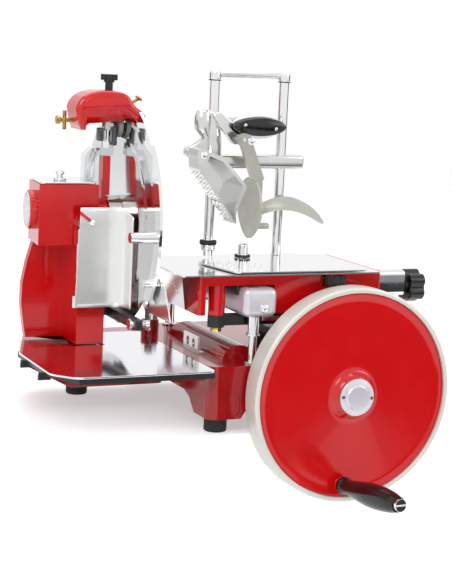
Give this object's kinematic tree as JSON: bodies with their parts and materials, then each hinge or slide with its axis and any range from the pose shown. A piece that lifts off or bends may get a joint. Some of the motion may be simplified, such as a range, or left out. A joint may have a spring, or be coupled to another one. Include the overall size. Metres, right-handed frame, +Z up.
{
  "type": "hand crank meat slicer",
  "caption": "Hand-cranked flywheel meat slicer: round blade, sliding meat table with toothed press, sharpener, slice deflector and tray on a cast base.",
  "frame": {"origin": "on the bench top, under the middle of the base casting between its four feet", "axes": "+X to the right along the feed screw to its star knob, +Y back along the carriage's travel away from the flywheel, +Z up"},
  "size_m": [0.562, 0.5456, 0.5703],
  "materials": {
    "red_enamel": "smooth gloss red enamel on cast metal",
    "pale_rim": "pale satin lacquer on the turned rim",
    "polished_chrome": "polished chrome plate",
    "stainless": "fine brushed stainless sheet",
    "cast_aluminium": "satin polished cast aluminium",
    "dark_steel": "oiled machined steel",
    "bronze": "turned bronze",
    "black_enamel": "black satin enamel",
    "black_grip": "black moulded phenolic, semi-gloss",
    "black_rubber": "black moulded rubber",
    "abrasive_stone": "bonded abrasive, rough"
  },
  "bodies": {
    "root": {"base_casting": "red_enamel", "foot_front_left": "black_rubber", "foot_front_right": "black_rubber", "foot_rear_left": "black_rubber", "foot_rear_right": "black_rubber", "adjuster_nut": "polished_chrome", "slotted_bracket": "stainless", "housing_casting": "red_enamel", "housing_cap": "polished_chrome", "oil_cap": "polished_chrome", "drive_chain": "dark_steel", "guard_arm": "dark_steel", "deflector_pin": "stainless", "tray_frame": "black_enamel", "sharpener_stand": "polished_chrome", "guide_post_front": "polished_chrome", "guide_post_rear": "polished_chrome", "guide_bar": "polished_chrome", "side_rail": "stainless"},
    "flywheel": {"flywheel_disc": "red_enamel", "flywheel_rim": "pale_rim", "hub_cap": "cast_aluminium", "main_shaft": "dark_steel", "crank_pin": "polished_chrome"},
    "grip": {"crank_grip": "black_grip"},
    "crank": {"crank_shaft": "dark_steel"},
    "cross": {"cross_shaft": "dark_steel"},
    "cutter": {"blade": "polished_chrome", "blade_shaft": "stainless"},
    "guard": {"blade_guard": "polished_chrome", "lower_guard": "stainless"},
    "dial": {"thickness_dial": "red_enamel"},
    "deflector": {"slice_deflector": "stainless"},
    "tray": {"receiving_tray": "stainless"},
    "sharpener": {"sharpener_cover": "red_enamel", "sharpener_carrier": "stainless"},
    "grinding": {"grinding_stone": "abrasive_stone"},
    "honing": {"honing_stone": "abrasive_stone"},
    "clamp": {"clamp_knob": "black_grip"},
    "plunger": {"side_plunger": "bronze"},
    "carriage": {"carriage_casting": "red_enamel", "meat_table": "stainless", "yoke_bar": "black_enamel", "screw_bearing": "polished_chrome"},
    "thumb": {"thumb_wheel": "black_grip"},
    "feed_knob": {"feed_screw": "stainless", "star_knob": "black_grip"},
    "feed": {"feed_plate": "cast_aluminium", "feed_nut": "bronze", "post_left": "polished_chrome", "post_right": "polished_chrome", "top_bar": "polished_chrome", "post_bumper": "black_rubber"},
    "button": {"lock_button": "polished_chrome"},
    "press": {"press_slider": "cast_aluminium", "press_grip": "black_grip"},
    "claw": {"claw_frame": "cast_aluminium"},
    "lever": {"hold_down_lever": "cast_aluminium", "spoon_lever": "cast_aluminium"}
  },
  "joints": [
    {"name": "flywheel_spin", "type": "hinge", "parent": "root", "child": "flywheel", "pos_m": [0.069, 0, 0.052], "axis": [0, 1, 0], "continuous": true},
    {"name": "grip_spin", "type": "hinge", "parent": "flywheel", "child": "grip", "pos_m": [0.056, -0.195, -0.07], "axis": [0.0845, -0.9936, 0.0745], "continuous": true},
    {"name": "crank_spin", "type": "hinge", "parent": "root", "child": "crank", "pos_m": [0.008, -0.03, 0.1], "axis": [0, 0, 1], "continuous": true},
    {"name": "cross_spin", "type": "hinge", "parent": "root", "child": "cross", "pos_m": [0, 0.058, 0.052], "axis": [1, 0, 0], "continuous": true},
    {"name": "blade_spin", "type": "hinge", "parent": "root", "child": "cutter", "pos_m": [-0.1835, 0.058, 0.2655], "axis": [1, 0, 0], "continuous": true},
    {"name": "guard_slide", "type": "slide", "parent": "root", "child": "guard", "axis": [-1, 0, 0], "range_m": [0, 0.002]},
    {"name": "dial_turn", "type": "hinge", "parent": "root", "child": "dial", "pos_m": [-0.30635, 0.058, 0.276], "axis": [0.9926, -0.1215, 0], "range_deg": [0, 300]},
    {"name": "deflector_swing", "type": "hinge", "parent": "root", "child": "deflector", "pos_m": [-0.252, 0.012, 0.213], "axis": [0, 0, -1], "range_deg": [0, 50]},
    {"name": "tray_slide", "type": "slide", "parent": "root", "child": "tray", "axis": [0, -1, 0], "range_m": [0, 0.15]},
    {"name": "sharpener_lift", "type": "slide", "parent": "root", "child": "sharpener", "axis": [0, 0, 1], "range_m": [0, 0.012]},
    {"name": "grinding_spin", "type": "hinge", "parent": "sharpener", "child": "grinding", "pos_m": [-0.19, 0.052, 0.392], "axis": [1, 0, 0], "continuous": true},
    {"name": "honing_spin", "type": "hinge", "parent": "sharpener", "child": "honing", "pos_m": [-0.177, 0.064, 0.392], "axis": [1, 0, 0], "continuous": true},
    {"name": "clamp_turn", "type": "hinge", "parent": "sharpener", "child": "clamp", "pos_m": [-0.203, 0.058, 0.45], "axis": [0, 0, 1], "continuous": true},
    {"name": "plunger_push", "type": "slide", "parent": "sharpener", "child": "plunger", "axis": [1, 0, 0], "range_m": [0, 0.004]},
    {"name": "carriage_slide", "type": "slide", "parent": "root", "child": "carriage", "axis": [0, 1, 0], "range_m": [0, 0.18]},
    {"name": "thumb_turn", "type": "hinge", "parent": "carriage", "child": "thumb", "pos_m": [0.0575, -0.147, 0.203], "axis": [0, 0, 1], "continuous": true},
    {"name": "feed_turn", "type": "hinge", "parent": "carriage", "child": "feed_knob", "pos_m": [0.18, -0.12, 0.188], "axis": [1, 0, 0], "range_deg": [0, 2160]},
    {"name": "feed_slide", "type": "slide", "parent": "carriage", "child": "feed", "axis": [-1, 0, 0], "range_m": [0, 0.06]},
    {"name": "button_pull", "type": "slide", "parent": "feed", "child": "button", "axis": [0, 0, 1], "range_m": [0, 0.005]},
    {"name": "press_slide", "type": "slide", "parent": "feed", "child": "press", "axis": [0, 0, 1], "range_m": [-0.006, 0.04]},
    {"name": "claw_swing", "type": "hinge", "parent": "press", "child": "claw", "pos_m": [-0.106, -0.04, 0.362], "axis": [0, 1, 0], "range_deg": [0, 12]},
    {"name": "lever_swing", "type": "hinge", "parent": "press", "child": "lever", "pos_m": [-0.042, -0.044, 0.383], "axis": [0, -1, 0], "range_deg": [0, 14]}
  ],
  "couplings": [
    {"joint": "crank_spin", "follows": "flywheel_spin", "ratio": 0.55556},
    {"joint": "cross_spin", "follows": "flywheel_spin", "ratio": -1},
    {"joint": "blade_spin", "follows": "flywheel_spin", "ratio": -1},
    {"joint": "dial_turn", "follows": "guard_slide", "rad_per_m": 2617.9},
    {"joint": "feed_turn", "follows": "feed_slide", "rad_per_m": 628.32}
  ]
}
